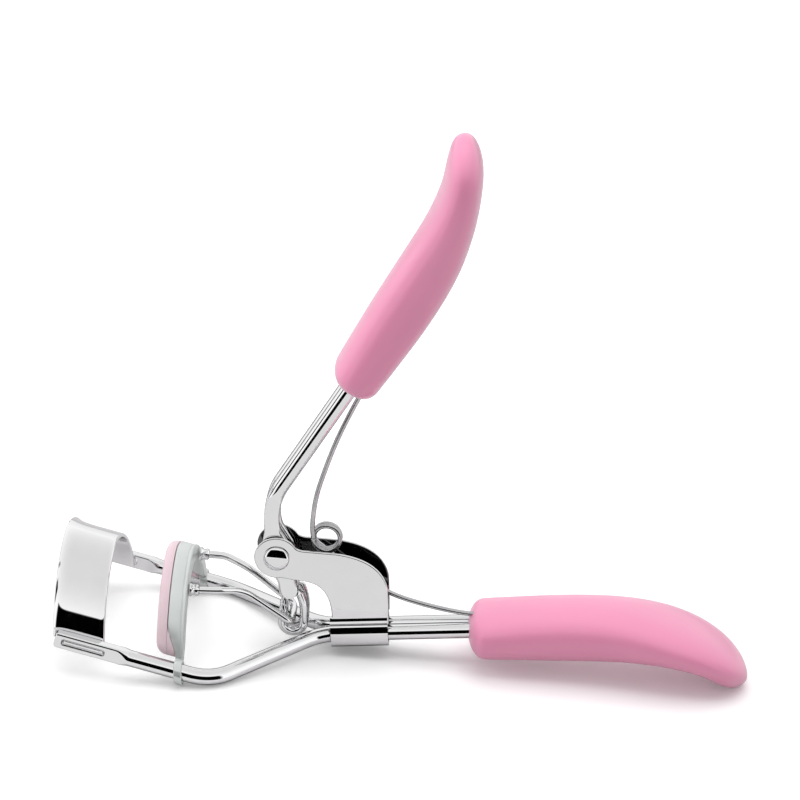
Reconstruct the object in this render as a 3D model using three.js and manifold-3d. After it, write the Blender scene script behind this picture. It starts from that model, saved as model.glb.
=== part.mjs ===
// Eyelash curler with a bent-wire frame, standing open on its rail bends and on the tip of its lower grip.
// Millimetres, +Z up. X runs from the jaws (-X) to the handles (+X), and Y across the jaws.
// The origin is on the ground, under the middle of the object's box.
import * as THREE from 'three';
import { mergeVertices } from 'three/addons/utils/BufferGeometryUtils.js';
import Module from 'manifold-3d';

const wasm = await Module();
wasm.setup();

// ---- driving dimensions ----
const ROD_R = 1.5; // frame rods
const RAIL_Y = 17.55; // rail centre line from the middle plane
const BEND_X = -35.9; // foot of the rails, the lowest point of the frame
const FRONT_X = BEND_X - 29.4; // front end of the rails
const BEND_Z = 1.27;
const RAIL_SLOPE = THREE.MathUtils.degToRad(12.3); // the rails rise towards the jaws
const HANDLE_SLOPE = THREE.MathUtils.degToRad(7.2); // the handle part of the frame rises towards the grip
const RAIL_FLAT_LENGTH = 11.5; // flattened front end of each rail
const RAIL_FLAT_THICKNESS = 1.8;
const SHEET = 0.6; // bracket and sliding jaw sheet

const PLATE_LENGTH = 9; // fixed jaw plate, along X
const PLATE_SHEET = 0.8;
const PLATE_HALF_WIDTH = 16.2;
const PLATE_HEIGHT = 13.7; // above the rail centre line
const ARCH_POWER = 1.65; // 2 would be an ellipse, less is more pointed
const JAW_LEAN = THREE.MathUtils.degToRad(4); // the arches lean forward
const TAB_LENGTH = 7.4;
const TAB_GAP = 0.3;

const SLIDER_BACK_X = BEND_X - 5.2;
const SLIDER_LENGTH = 3.1;
const SLIDER_HALF_WIDTH = 17;
const SLIDER_HEIGHT = 15.9;
const SLIDER_DEPTH = 3; // radial depth of the channel
const LOOP_R = 1.75; // inside the loops that run on the rails
const LOOP_SAG = 0.05; // the loops hang on the rails
const LOOP_WIDTH = 1.5;
const PAD_REACH = 2.5; // how far the pad stands in front of the channel
const PAD_GAP = 0.3; // between the pad and the channel

const PIVOT = new THREE.Vector2(BEND_X + 9.8, 20.1); // X and Z of the lever's pivot
const EYE_R = 4.25; // round end of each ear
const EAR_IN = 2.55; // inner face of each ear from the middle plane
const COLLAR_START = 21.2; // from the bend, along X
const COLLAR_LENGTH = 10.9;
const COLLAR_HALF_WIDTH = 3.85;
const COLLAR_DROP = 2.5; // below the rod centre line
const RIVET_R = 1.1;
const RIVET_HEAD_R = 2.45;

const LEVER_R = 1.5;
const LEVER_Y = 1.55; // centre line of each lever rod from the middle plane
const LEVER_FLAT = 1.65; // thickness where the rods are flattened
const LEVER_EYE_R = 3.2; // round the pivot
const LEVER_SLOPE = THREE.MathUtils.degToRad(61.4);
const LEVER_KNEE = new THREE.Vector2(BEND_X + 8.37, 32); // where the rods bend down to the pivot
const BAR = new THREE.Vector2(BEND_X + 13.4, 6.8); // the cross bar that the hooks hold
const HOOK_BEND = new THREE.Vector2(BEND_X + 13.6, 5.75); // centre of each hook's bend
const HOOK_R = 2.05; // centre line of each hook
const HOOK_Y = 1.5;
const HOOK_WIRE_R = 0.85;

const FORK_R = 0.7;
const FORK_FRONT = new THREE.Vector3(SLIDER_BACK_X - 0.8, 7.1, 14.1);
const FORK_KNEE = new THREE.Vector3(BEND_X + 4, 4.6, 13.4);
const FORK_BACK_Y = 3.6;

const SPRING_CENTRE = new THREE.Vector2(BEND_X + 18.9, 23.85);
const SPRING_R = 2.5; // centre line of the coil
const SPRING_WIRE_R = 0.46;
const SPRING_PITCH = 1;
const SPRING_TURNS = 2;

const LOWER_GRIP_LENGTH = 57;
const UPPER_GRIP_LENGTH = 52.5;
const LOWER_GRIP_AT = 47.6; // from the bend, along the handle part of the frame
const UPPER_GRIP_AT = 26.2; // from the knee, along the lever rods
const GRIP_GAP = 0.3; // between a grip and what is pushed into it
const SOCKET_DEPTH = 16;

// ---- materials ----
const chrome = new THREE.MeshStandardMaterial({ color: 0xd9dadb, roughness: 0.08, metalness: 1 });
const satinSteel = new THREE.MeshStandardMaterial({ color: 0xdfe4e2, roughness: 0.22, metalness: 1 });
const springSteel = new THREE.MeshStandardMaterial({ color: 0xb4b5b5, roughness: 0.25, metalness: 1 });
const silicone = new THREE.MeshStandardMaterial({ color: 0xe9cdd4, roughness: 0.6, metalness: 0 });
const gripPlastic = new THREE.MeshStandardMaterial({ color: 0xf3a6c6, roughness: 0.35, metalness: 0 });

// ---- helpers ----
const group = new THREE.Group();

function toSolid(geometry) {
  const bare = geometry.clone();
  bare.deleteAttribute('normal');
  bare.deleteAttribute('uv');
  const merged = mergeVertices(bare, 1e-4);
  const vertProperties = new Float32Array(merged.attributes.position.array);
  const triVerts = new Uint32Array(merged.index.array);
  return new wasm.Manifold(new wasm.Mesh({ numProp: 3, vertProperties, triVerts }));
}

function toGeometry(solid) {
  const mesh = solid.getMesh();
  const geometry = new THREE.BufferGeometry();
  geometry.setAttribute('position', new THREE.BufferAttribute(mesh.vertProperties, 3));
  geometry.setIndex(new THREE.BufferAttribute(mesh.triVerts, 1));
  geometry.computeVertexNormals();
  return geometry;
}

function join(...geometries) {
  return toGeometry(geometries.map(toSolid).reduce((whole, piece) => whole.add(piece)));
}

function keep(geometry, tool) {
  return toGeometry(toSolid(geometry).intersect(toSolid(tool)));
}

function cut(geometry, ...tools) {
  return toGeometry(tools.map(toSolid).reduce((whole, tool) => whole.subtract(tool), toSolid(geometry)));
}

function addPart(name, geometry, material) {
  const mesh = new THREE.Mesh(geometry, material);
  mesh.name = name;
  group.add(mesh);
}

// A copy mirrored in the middle plane, with its faces turned to point out again.
function mirrored(geometry) {
  const copy = toGeometry(toSolid(geometry)).scale(1, -1, 1);
  const index = copy.index.array;
  for (let i = 0; i < index.length; i += 3) {
    [index[i], index[i + 1]] = [index[i + 1], index[i]];
  }
  copy.computeVertexNormals();
  return copy;
}

// Local x, y and z of a geometry laid along three world directions.
function laid(geometry, x, y, z) {
  return geometry.applyMatrix4(new THREE.Matrix4().makeBasis(x, y, z));
}

const X_AXIS = new THREE.Vector3(1, 0, 0);
const Y_AXIS = new THREE.Vector3(0, 1, 0);
const Z_AXIS = new THREE.Vector3(0, 0, 1);

// A shape drawn in Y and Z, extruded along +X from startX.
function extrudeAlongX(shape, startX, length) {
  const geometry = new THREE.ExtrudeGeometry(shape, { depth: length, bevelEnabled: false, curveSegments: 6 });
  return laid(geometry, Y_AXIS, Z_AXIS, X_AXIS).translate(startX, 0, 0);
}

// A shape drawn in X and Z, extruded along Y from y0 to y1.
function extrudeAlongY(shape, y0, y1) {
  const depth = y1 - y0;
  const geometry = new THREE.ExtrudeGeometry(shape, { depth, bevelEnabled: false, curveSegments: 10 });
  return laid(geometry, X_AXIS, Z_AXIS, Y_AXIS.clone().negate()).translate(0, y1, 0);
}

// A round tube that follows a curve.
function wire(curve, radius, steps, sides = 12) {
  const section = new THREE.Shape();
  for (let i = 0; i < sides; i += 1) {
    const angle = (2 * Math.PI * i) / sides;
    const x = radius * Math.cos(angle);
    const y = radius * Math.sin(angle);
    if (i === 0) section.moveTo(x, y);
    else section.lineTo(x, y);
  }
  return new THREE.ExtrudeGeometry(section, { steps, extrudePath: curve });
}

// A path of straight lines with its corners rounded off, each corner by its own length of run-in.
function roundedPath(points, runIns) {
  const path = new THREE.CurvePath();
  let from = points[0];
  for (let i = 1; i < points.length - 1; i += 1) {
    const corner = points[i];
    const before = corner.clone().sub(points[i - 1]).setLength(runIns[i - 1]);
    const after = points[i + 1].clone().sub(corner).setLength(runIns[i - 1]);
    const enter = corner.clone().sub(before);
    const leave = corner.clone().add(after);
    path.add(new THREE.LineCurve3(from, enter));
    path.add(new THREE.QuadraticBezierCurve3(enter, corner, leave));
    from = leave;
  }
  path.add(new THREE.LineCurve3(from, points[points.length - 1]));
  return path;
}

// A closed prism with a round section along Y, for pins and bores.
function pin(x, z, radius, y0, y1, sides = 20) {
  return new THREE.CylinderGeometry(radius, radius, y1 - y0, sides).translate(x, (y0 + y1) / 2, z);
}

function railZ(x) {
  return BEND_Z + (BEND_X - x) * Math.tan(RAIL_SLOPE);
}

function handleZ(x) {
  return BEND_Z + (x - BEND_X) * Math.tan(HANDLE_SLOPE);
}

// Turns a piece drawn level at startX so that it follows the rails and its arches lean forward.
function followRails(geometry, startX) {
  const rise = Math.tan(RAIL_SLOPE);
  const lean = Math.tan(JAW_LEAN);
  const sheared = new THREE.Matrix4().set(1, 0, -lean, 0, 0, 1, 0, 0, -rise, 0, 1, 0, 0, 0, 0, 1);
  return geometry.translate(-startX, 0, 0).applyMatrix4(sheared).translate(startX, 0, railZ(startX));
}

// ---- arches ----
// A point on the arch: u runs from 0 at the near foot to 1 at the far foot.
function archPoint(u, halfWidth, height) {
  const angle = Math.PI * u;
  const c = Math.cos(angle);
  const y = -halfWidth * Math.sign(c) * Math.abs(c) ** (2 / ARCH_POWER);
  const z = height * Math.abs(Math.sin(angle)) ** (2 / ARCH_POWER);
  return new THREE.Vector2(y, z);
}

// One edge of an arch, from footZ on the near side over the crown to footZ on the far side.
function archEdge(halfWidth, height, footZ) {
  const share = Math.max(0, footZ) / height;
  const footY = halfWidth * (1 - share ** ARCH_POWER) ** (1 / ARCH_POWER);
  const edge = [new THREE.Vector2(-footY, footZ)];
  const count = 36;
  for (let i = 1; i < count; i += 1) {
    const point = archPoint(0.5 - 0.5 * Math.cos((Math.PI * i) / count), halfWidth, height);
    if (point.y > footZ + 0.1) edge.push(point);
  }
  edge.push(new THREE.Vector2(footY, footZ));
  return edge;
}

// A strip between two depths below the arch's outer surface, stopped at footZ above the rail centre line.
function archShape(halfWidth, height, depth0, depth1, footZ) {
  const outer = archEdge(halfWidth - depth0, height - depth0, footZ);
  const inner = archEdge(halfWidth - depth1, height - depth1, footZ);
  return new THREE.Shape([...outer, ...inner.reverse()]);
}

// ---- frame rods ----
function frameRod() {
  const flatEndX = FRONT_X + RAIL_FLAT_LENGTH;
  const gripInside = BEND_X + (LOWER_GRIP_AT + SOCKET_DEPTH - 1) * Math.cos(HANDLE_SLOPE);
  const collarX = BEND_X + COLLAR_START - 1.8;
  const rod = wire(roundedPath([
    new THREE.Vector3(flatEndX - 0.5, -RAIL_Y, railZ(flatEndX - 0.5)),
    new THREE.Vector3(BEND_X, -RAIL_Y, BEND_Z),
    new THREE.Vector3(collarX, -ROD_R - 0.05, handleZ(collarX)),
    new THREE.Vector3(gripInside, -ROD_R - 0.05, handleZ(gripInside)),
  ], [3, 3]), ROD_R, 56, 14);

  const half = ROD_R + 0.05;
  const length = RAIL_FLAT_LENGTH / Math.cos(RAIL_SLOPE);
  const flat = new THREE.Shape();
  flat.moveTo(0.6, -half);
  flat.lineTo(length, -half);
  flat.lineTo(length, half);
  flat.lineTo(0.6, half);
  flat.quadraticCurveTo(0, half, 0, half - 0.6);
  flat.lineTo(0, 0.6 - half);
  flat.quadraticCurveTo(0, -half, 0.6, -half);
  const slotHalf = PLATE_SHEET / 2 + TAB_GAP;
  const slot = new THREE.Path();
  const slotStart = 1.3;
  const slotEnd = slotStart + (TAB_LENGTH + 2 * TAB_GAP) / Math.cos(RAIL_SLOPE);
  slot.moveTo(slotStart, -slotHalf);
  slot.lineTo(slotEnd, -slotHalf);
  slot.lineTo(slotEnd, slotHalf);
  slot.lineTo(slotStart, slotHalf);
  slot.closePath();
  flat.holes.push(slot);
  const y0 = -RAIL_Y - RAIL_FLAT_THICKNESS / 2;
  const plate = extrudeAlongY(flat, y0, y0 + RAIL_FLAT_THICKNESS);
  plate.rotateY(RAIL_SLOPE).translate(FRONT_X + 0.5, 0, railZ(FRONT_X + 0.5));
  return join(rod, plate);
}

// ---- fixed jaw ----
function fixedJawPlate() {
  const startX = FRONT_X + 0.15;
  const foot = -PLATE_SHEET / 2;
  const stripArch = archShape(PLATE_HALF_WIDTH, PLATE_HEIGHT, 0, PLATE_SHEET, foot);
  const strip = extrudeAlongX(stripArch, 0, PLATE_LENGTH);
  const lipArch = archShape(PLATE_HALF_WIDTH + 0.35, PLATE_HEIGHT + 0.4, 0, PLATE_SHEET + 0.3, foot);
  const lip = extrudeAlongX(lipArch, 0, 0.9);
  const tabStart = 1.6 + TAB_GAP;
  const tabIn = PLATE_HALF_WIDTH - PLATE_SHEET;
  const tabOut = RAIL_Y + RAIL_FLAT_THICKNESS / 2 + 0.15;
  const tab = new THREE.BoxGeometry(TAB_LENGTH, tabOut - tabIn, PLATE_SHEET);
  tab.translate(tabStart + TAB_LENGTH / 2, -(tabOut + tabIn) / 2, 0);
  const farTab = tab.clone().translate(0, tabOut + tabIn, 0);
  return followRails(join(strip, lip, tab, farTab).translate(startX, 0, 0), startX);
}

// ---- sliding jaw ----
const SLIDER_FRONT_X = SLIDER_BACK_X - SLIDER_LENGTH;
const CHANNEL_FOOT = 2.9; // the channel's ends above the rail centre line
const PAD_FOOT = 1.7; // the pad's ends above the rail centre line

function slidingJaw() {
  const outer = extrudeAlongX(
    archShape(SLIDER_HALF_WIDTH, SLIDER_HEIGHT, 0, SHEET, CHANNEL_FOOT), SLIDER_FRONT_X, SLIDER_LENGTH);
  const inner = extrudeAlongX(
    archShape(SLIDER_HALF_WIDTH, SLIDER_HEIGHT, SLIDER_DEPTH - SHEET, SLIDER_DEPTH, CHANNEL_FOOT),
    SLIDER_FRONT_X, SLIDER_LENGTH);
  const web = extrudeAlongX(
    archShape(SLIDER_HALF_WIDTH, SLIDER_HEIGHT, 0, SLIDER_DEPTH, CHANNEL_FOOT), SLIDER_BACK_X - SHEET, SHEET);
  const neckX = SLIDER_BACK_X - LOOP_WIDTH;
  const neckWidth = 1.7;
  const neckArch = extrudeAlongX(
    archShape(SLIDER_HALF_WIDTH, SLIDER_HEIGHT, 0, neckWidth, LOOP_R - 0.5), neckX, LOOP_WIDTH);
  const neck = keep(neckArch, new THREE.BoxGeometry(20, 60, 2 * CHANNEL_FOOT + 0.4).translate(neckX, 0, 0));
  const front = new THREE.Shape();
  front.moveTo(SLIDER_FRONT_X - 1, 0);
  front.lineTo(neckX, 0);
  front.lineTo(neckX, CHANNEL_FOOT);
  front.lineTo(SLIDER_FRONT_X - 0.01, CHANNEL_FOOT + 4.6);
  front.lineTo(SLIDER_FRONT_X - 1, CHANNEL_FOOT + 4.6);
  front.closePath();
  const frontCut = extrudeAlongY(front, -30, 30);
  const ring = new THREE.Shape();
  ring.absarc(0, 0, LOOP_R + SHEET, 0, 2 * Math.PI);
  const bore = new THREE.Path();
  bore.absarc(0, 0, LOOP_R, 0, 2 * Math.PI);
  ring.holes.push(bore);
  const loop = extrudeAlongX(ring, neckX, LOOP_WIDTH).translate(0, -RAIL_Y, -LOOP_SAG);
  const railHole = new THREE.Shape().absarc(0, 0, LOOP_R, 0, 2 * Math.PI);
  const clear = extrudeAlongX(railHole, neckX - 1, LOOP_WIDTH + 2);
  clear.translate(0, -RAIL_Y, -LOOP_SAG);
  const channel = cut(join(outer, inner, web, neck), frontCut);
  const jaw = cut(join(channel, loop, mirrored(loop)), clear, mirrored(clear));
  return followRails(jaw, SLIDER_BACK_X);
}

function siliconePad() {
  const frontX = SLIDER_FRONT_X - PAD_REACH;
  const strip = (depth0, depth1, footZ, endX) => extrudeAlongX(
    archShape(SLIDER_HALF_WIDTH, SLIDER_HEIGHT, depth0, depth1, footZ), frontX, endX - frontX);
  const inset = SHEET + PAD_GAP;
  const root = strip(inset, SLIDER_DEPTH - inset, CHANNEL_FOOT + 0.7, SLIDER_BACK_X - inset);
  const tail = strip(inset, SLIDER_DEPTH - inset, PAD_FOOT, SLIDER_BACK_X - LOOP_WIDTH - PAD_GAP);
  const face = strip(0.2, SLIDER_DEPTH - 0.2, PAD_FOOT, SLIDER_FRONT_X - PAD_GAP);
  return followRails(join(root, tail, face), SLIDER_BACK_X);
}

// ---- push fork ----
function forkSocket() {
  const length = 1.5;
  const gap = 0.3;
  const sleeve = new THREE.CylinderGeometry(1.2, 1.2, length, 14).rotateZ(Math.PI / 2);
  return sleeve.translate(FORK_FRONT.x + gap + length / 2, -FORK_FRONT.y, FORK_FRONT.z);
}

function pushFork() {
  const start = FORK_FRONT.clone().add(new THREE.Vector3(2.1, 0, 0));
  const near = (p) => new THREE.Vector3(p.x, -p.y, p.z);
  const back = new THREE.Vector3(BAR.x, FORK_BACK_Y, BAR.y);
  const path = roundedPath(
    [near(start), near(FORK_KNEE), near(back), back, FORK_KNEE, start], [2.5, 1.4, 1.4, 2.5]);
  return wire(path, FORK_R, 84, 10);
}

// ---- hinge bracket ----
function earShape() {
  const x0 = BEND_X + COLLAR_START;
  const x1 = x0 + COLLAR_LENGTH;
  const foot = 2.4; // the ears run down into the collar's sides
  const shape = new THREE.Shape();
  shape.moveTo(x0, handleZ(x0) + foot);
  shape.quadraticCurveTo(x0 - 0.2, 15.4, x0 - 6, 15.6);
  shape.quadraticCurveTo(PIVOT.x + 3, 15.7, PIVOT.x + 1.1, PIVOT.y - 0.966 * EYE_R);
  shape.absarc(PIVOT.x, PIVOT.y, EYE_R, THREE.MathUtils.degToRad(-75), THREE.MathUtils.degToRad(35), true);
  shape.quadraticCurveTo(PIVOT.x + 4.2, 22, PIVOT.x + 5.6, 22.1);
  shape.lineTo(x0 - 0.3, 22.1);
  shape.quadraticCurveTo(x1 - 2.6, 21.6, x1 - 0.9, 15.6);
  shape.quadraticCurveTo(x1 - 0.6, 14, x1 - 0.1, handleZ(x1) + foot);
  shape.closePath();
  return shape;
}

function collarSection() {
  const w = COLLAR_HALF_WIDTH;
  const top = 4.4;
  const waist = EAR_IN + SHEET;
  const outline = (shape, inset) => {
    const round = 2.2 - inset;
    shape.moveTo(-waist + inset, top);
    shape.lineTo(-waist + inset, 3.4);
    shape.quadraticCurveTo(-w + inset, 2.8, -w + inset, 1.6);
    shape.lineTo(-w + inset, -COLLAR_DROP + inset + round);
    shape.quadraticCurveTo(-w + inset, -COLLAR_DROP + inset, -w + inset + round, -COLLAR_DROP + inset);
    shape.lineTo(w - inset - round, -COLLAR_DROP + inset);
    shape.quadraticCurveTo(w - inset, -COLLAR_DROP + inset, w - inset, -COLLAR_DROP + inset + round);
    shape.lineTo(w - inset, 1.6);
    shape.quadraticCurveTo(w - inset, 2.8, waist - inset, 3.4);
    shape.lineTo(waist - inset, top);
    shape.closePath();
  };
  const outer = new THREE.Shape();
  const inner = new THREE.Shape();
  outline(outer, 0);
  outline(inner, SHEET);
  return [outer, inner];
}

function hingeBracket() {
  const x0 = BEND_X + COLLAR_START;
  const [outer, inner] = collarSection();
  const run = COLLAR_LENGTH / Math.cos(HANDLE_SLOPE);
  const place = (geometry) => geometry.rotateY(-HANDLE_SLOPE).translate(x0, 0, handleZ(x0));
  const shell = place(extrudeAlongX(outer, 0, run));
  const hollow = place(extrudeAlongX(inner, -1, run + 2));
  const over = new THREE.BoxGeometry(20, 2 * EAR_IN, 6).translate(x0 + 6, 0, handleZ(x0) + 6.8);
  const collar = cut(shell, hollow, over);
  const ear = extrudeAlongY(earShape(), -EAR_IN - SHEET, -EAR_IN);
  const hole = pin(PIVOT.x, PIVOT.y, RIVET_R + 0.2, -6, 6);
  return cut(join(collar, ear, mirrored(ear)), hole);
}

function pivotRivet() {
  const face = EAR_IN + SHEET + 0.1;
  const crown = 1.15;
  const profile = [new THREE.Vector2(0, -face - crown)];
  const steps = 6;
  for (let i = 1; i <= steps; i += 1) {
    const angle = (Math.PI / 2) * (i / steps);
    profile.push(new THREE.Vector2(RIVET_HEAD_R * Math.sin(angle), -face - crown * Math.cos(angle)));
  }
  profile.push(new THREE.Vector2(RIVET_R, -face));
  const other = profile.slice().reverse().map((p) => new THREE.Vector2(p.x, -p.y));
  return new THREE.LatheGeometry([...profile, ...other], 24).translate(PIVOT.x, 0, PIVOT.y);
}

// ---- lever ----
function leverPoint(distance) {
  const x = LEVER_KNEE.x + distance * Math.cos(LEVER_SLOPE);
  const z = LEVER_KNEE.y + distance * Math.sin(LEVER_SLOPE);
  return new THREE.Vector2(x, z);
}

function leverRod() {
  const at = (x, z, y = -LEVER_Y) => new THREE.Vector3(x, y, z);
  const top = leverPoint(UPPER_GRIP_AT + SOCKET_DEPTH - 1);
  const shaft = wire(new THREE.LineCurve3(at(LEVER_KNEE.x, LEVER_KNEE.y), at(top.x, top.y)), LEVER_R, 8, 16);

  const { x, y: z } = PIVOT;
  const flat = new THREE.Shape();
  flat.moveTo(x + 0.55, z + 11.9);
  flat.quadraticCurveTo(x - 0.7, z + 9, x - 0.2, z + 6.6);
  flat.quadraticCurveTo(x + 0.2, z + 4.6, x + 2.2, z + 2.35);
  flat.absarc(x, z, LEVER_EYE_R, 0.82, -0.6, true);
  flat.lineTo(x + 5.2, z - 6.2);
  flat.lineTo(x + 5.6, z - 8.9);
  flat.lineTo(x + 0.8, z - 8.9);
  flat.lineTo(x + 0.3, z - 5.8);
  flat.quadraticCurveTo(x - 0.6, z - 4.2, x - 1.9, z - 2.6);
  flat.absarc(x, z, LEVER_EYE_R, -2.2, -3.35, true);
  flat.lineTo(x - 3.2, z + 9.5);
  flat.quadraticCurveTo(x - 3.4, z + 12, x - 2.6, z + 13.2);
  flat.closePath();
  const strip = extrudeAlongY(flat, -LEVER_Y - LEVER_FLAT / 2, -LEVER_Y + LEVER_FLAT / 2);
  const tool = pin(PIVOT.x, PIVOT.y, RIVET_R + 0.3, -6, 6);

  const right = HOOK_BEND.x + HOOK_R;
  const left = HOOK_BEND.x - HOOK_R;
  const bend = [];
  for (let i = 0; i <= 8; i += 1) {
    const angle = (-Math.PI * i) / 8;
    bend.push(at(HOOK_BEND.x + HOOK_R * Math.cos(angle), HOOK_BEND.y + HOOK_R * Math.sin(angle), -HOOK_Y));
  }
  const hook = new THREE.CurvePath();
  const shankTop = at(x + 4.5, z - 7.6, -HOOK_Y);
  const shankFoot = at(right, HOOK_BEND.y + 2, -HOOK_Y);
  hook.add(new THREE.QuadraticBezierCurve3(shankTop, at(right, HOOK_BEND.y + 4.4, -HOOK_Y), shankFoot));
  hook.add(new THREE.LineCurve3(shankFoot, bend[0]));
  hook.add(new THREE.CatmullRomCurve3(bend));
  hook.add(new THREE.LineCurve3(bend[8], at(left, HOOK_BEND.y + 3.6, -HOOK_Y)));
  return cut(join(shaft, strip, wire(hook, HOOK_WIRE_R, 32, 12)), tool);
}

// ---- spring ----
class Helix extends THREE.Curve {
  constructor(startAngle, endAngle) {
    super();
    this.startAngle = startAngle;
    this.endAngle = endAngle;
  }

  getPoint(t) {
    const angle = this.startAngle + t * (this.endAngle - this.startAngle);
    const y = SPRING_PITCH * ((angle - this.startAngle) / (2 * Math.PI) - SPRING_TURNS / 2);
    const x = SPRING_CENTRE.x + SPRING_R * Math.cos(angle);
    const z = SPRING_CENTRE.y + SPRING_R * Math.sin(angle);
    return new THREE.Vector3(x, y, z);
  }
}

const LEAVE_ANGLE = THREE.MathUtils.degToRad(228); // where the lower leg leaves the coil

function torsionSpring() {
  const coil = new Helix(Math.PI, 2 * Math.PI * SPRING_TURNS + LEAVE_ANGLE);
  const from = coil.getPoint(1);
  const insideGrip = new THREE.Vector3(BEND_X + 56, 0, handleZ(BEND_X + 56) + 2.2);
  const leg = new THREE.CatmullRomCurve3([
    from,
    new THREE.Vector3(BEND_X + 19.4, 1.4, 20.3),
    new THREE.Vector3(BEND_X + 24.5, 1, 16.6),
    new THREE.Vector3(BEND_X + 31.7, 0.4, 12.9),
    new THREE.Vector3(BEND_X + 39, 0, 11.1),
    new THREE.Vector3(BEND_X + 47.8, 0, 10),
    insideGrip,
  ]);
  const path = new THREE.CurvePath();
  path.add(coil);
  path.add(leg);
  return wire(path, SPRING_WIRE_R, 110, 8);
}

function springUpperLeg() {
  const leg = new THREE.CatmullRomCurve3([
    new THREE.Vector3(BEND_X + 15.4, -1, 23.2),
    new THREE.Vector3(BEND_X + 15.4, -1, 27.2),
    new THREE.Vector3(BEND_X + 16.1, -0.9, 31.9),
    new THREE.Vector3(BEND_X + 17.1, -0.7, 36),
    new THREE.Vector3(BEND_X + 19.5, -0.4, 44.5),
    new THREE.Vector3(BEND_X + 22.6, 0, 52.5),
    new THREE.Vector3(BEND_X + 25, 0, 57.8),
    new THREE.Vector3(BEND_X + 26.8, 0, 61.4),
  ]);
  return wire(leg, SPRING_WIRE_R, 26, 8);
}

// ---- grips ----
// A smooth curve through pairs of a position and a value.
function curveThrough(pairs) {
  const slopes = pairs.map((pair, i) => {
    const before = pairs[Math.max(0, i - 1)];
    const after = pairs[Math.min(pairs.length - 1, i + 1)];
    return (after[1] - before[1]) / (after[0] - before[0]);
  });
  return (x) => {
    let i = 0;
    while (i < pairs.length - 2 && x > pairs[i + 1][0]) i += 1;
    const [x0, y0] = pairs[i];
    const [x1, y1] = pairs[i + 1];
    const span = x1 - x0;
    const t = (x - x0) / span;
    const blend = t * t * (3 - 2 * t);
    const bulge = t * (1 - t) * span * ((1 - t) * slopes[i] - t * slopes[i + 1]);
    return y0 + blend * (y1 - y0) + bulge;
  };
}

// 1 in the middle of a grip, rounding off to 0 over the length of its end.
function roundedEnd(distance, roundLength, power) {
  const share = 1 - Math.min(1, Math.max(0, distance) / roundLength);
  return Math.sqrt(Math.max(0, 1 - share ** power));
}

// A grip lying along +X from its root at 0, its centre line bending down more and more towards its tip.
function gripBlank(length, drop, bendShare) {
  const halfWidth = curveThrough(
    [[0, 7.7], [8, 7.5], [18, 7.5], [28, 8], [37, 9.1], [44, 9.2], [50, 8], [length, 5.5]]);
  const halfThickness = curveThrough(
    [[0, 4.4], [8, 4.9], [18, 5.3], [28, 5.1], [37, 4.2], [44, 3.5], [50, 3.3], [length, 3.6]]);
  const bendDegrees = curveThrough(
    [[0, 0], [8, 0.5], [18, 1.2], [28, 5], [37, 14], [44, 25], [50, 41], [length, 56]]);

  const step = 0.25;
  const line = [{ x: 0, z: -drop, bend: 0 }];
  for (let along = step; along <= length + step; along += step) {
    const last = line[line.length - 1];
    const bend = THREE.MathUtils.degToRad(bendShare * bendDegrees(Math.min(along, length)));
    line.push({ x: last.x + step * Math.cos(bend), z: last.z - step * Math.sin(bend), bend });
  }

  const geometry = new THREE.SphereGeometry(1, 28, 28);
  geometry.rotateZ(Math.PI / 2);
  const position = geometry.attributes.position;
  const squareness = 2.3; // 2 would be an ellipse
  for (let i = 0; i < position.count; i += 1) {
    const along = (length * (1 + THREE.MathUtils.clamp(position.getX(i), -1, 1))) / 2;
    const around = Math.atan2(position.getZ(i), position.getY(i));
    const end = Math.min(roundedEnd(along, 3.5, 2.4), roundedEnd(length - along, 8, 2.2));
    const c = Math.cos(around);
    const s = Math.sin(around);
    const side = end * halfWidth(along) * Math.sign(c) * Math.abs(c) ** (2 / squareness);
    const up = end * halfThickness(along) * Math.sign(s) * Math.abs(s) ** (2 / squareness);
    const index = Math.floor(along / step);
    const share = along / step - index;
    const from = line[index];
    const to = line[index + 1];
    const bend = THREE.MathUtils.lerp(from.bend, to.bend, share);
    const x = THREE.MathUtils.lerp(from.x, to.x, share) + up * Math.sin(bend);
    const z = THREE.MathUtils.lerp(from.z, to.z, share) + up * Math.cos(bend);
    position.setXYZ(i, x, side, z);
  }
  return geometry;
}

function lowerGrip() {
  const place = (geometry) => geometry.rotateY(-HANDLE_SLOPE).translate(BEND_X, 0, BEND_Z);
  const grip = place(gripBlank(LOWER_GRIP_LENGTH, 0.6, 1).translate(LOWER_GRIP_AT, 0, 0));
  const width = 4 * ROD_R + 2 * GRIP_GAP + 0.1;
  const bore = new THREE.BoxGeometry(2 * SOCKET_DEPTH, width, 2 * (ROD_R + GRIP_GAP));
  const legBore = new THREE.BoxGeometry(24, 2, 3).translate(0, 0, 2.6);
  return cut(grip, place(bore.translate(LOWER_GRIP_AT, 0, 0)), place(legBore.translate(LOWER_GRIP_AT, 0, 0)));
}

// The upper grip is turned over, so that both grips bend apart towards their tips.
function upperGrip() {
  const place = (geometry) => geometry.rotateY(-LEVER_SLOPE).translate(LEVER_KNEE.x, 0, LEVER_KNEE.y);
  const grip = place(gripBlank(UPPER_GRIP_LENGTH, 0.1, 0.98).rotateX(Math.PI).translate(UPPER_GRIP_AT, 0, 0));
  const width = 2 * (LEVER_Y + LEVER_R + GRIP_GAP);
  const bore = new THREE.BoxGeometry(2 * SOCKET_DEPTH, width, 2 * (LEVER_R + GRIP_GAP));
  const legBore = new THREE.BoxGeometry(26, 2, 3).translate(0, 0, -2.6);
  return cut(grip, place(bore.translate(UPPER_GRIP_AT, 0, 0)), place(legBore.translate(UPPER_GRIP_AT, 0, 0)));
}

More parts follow.
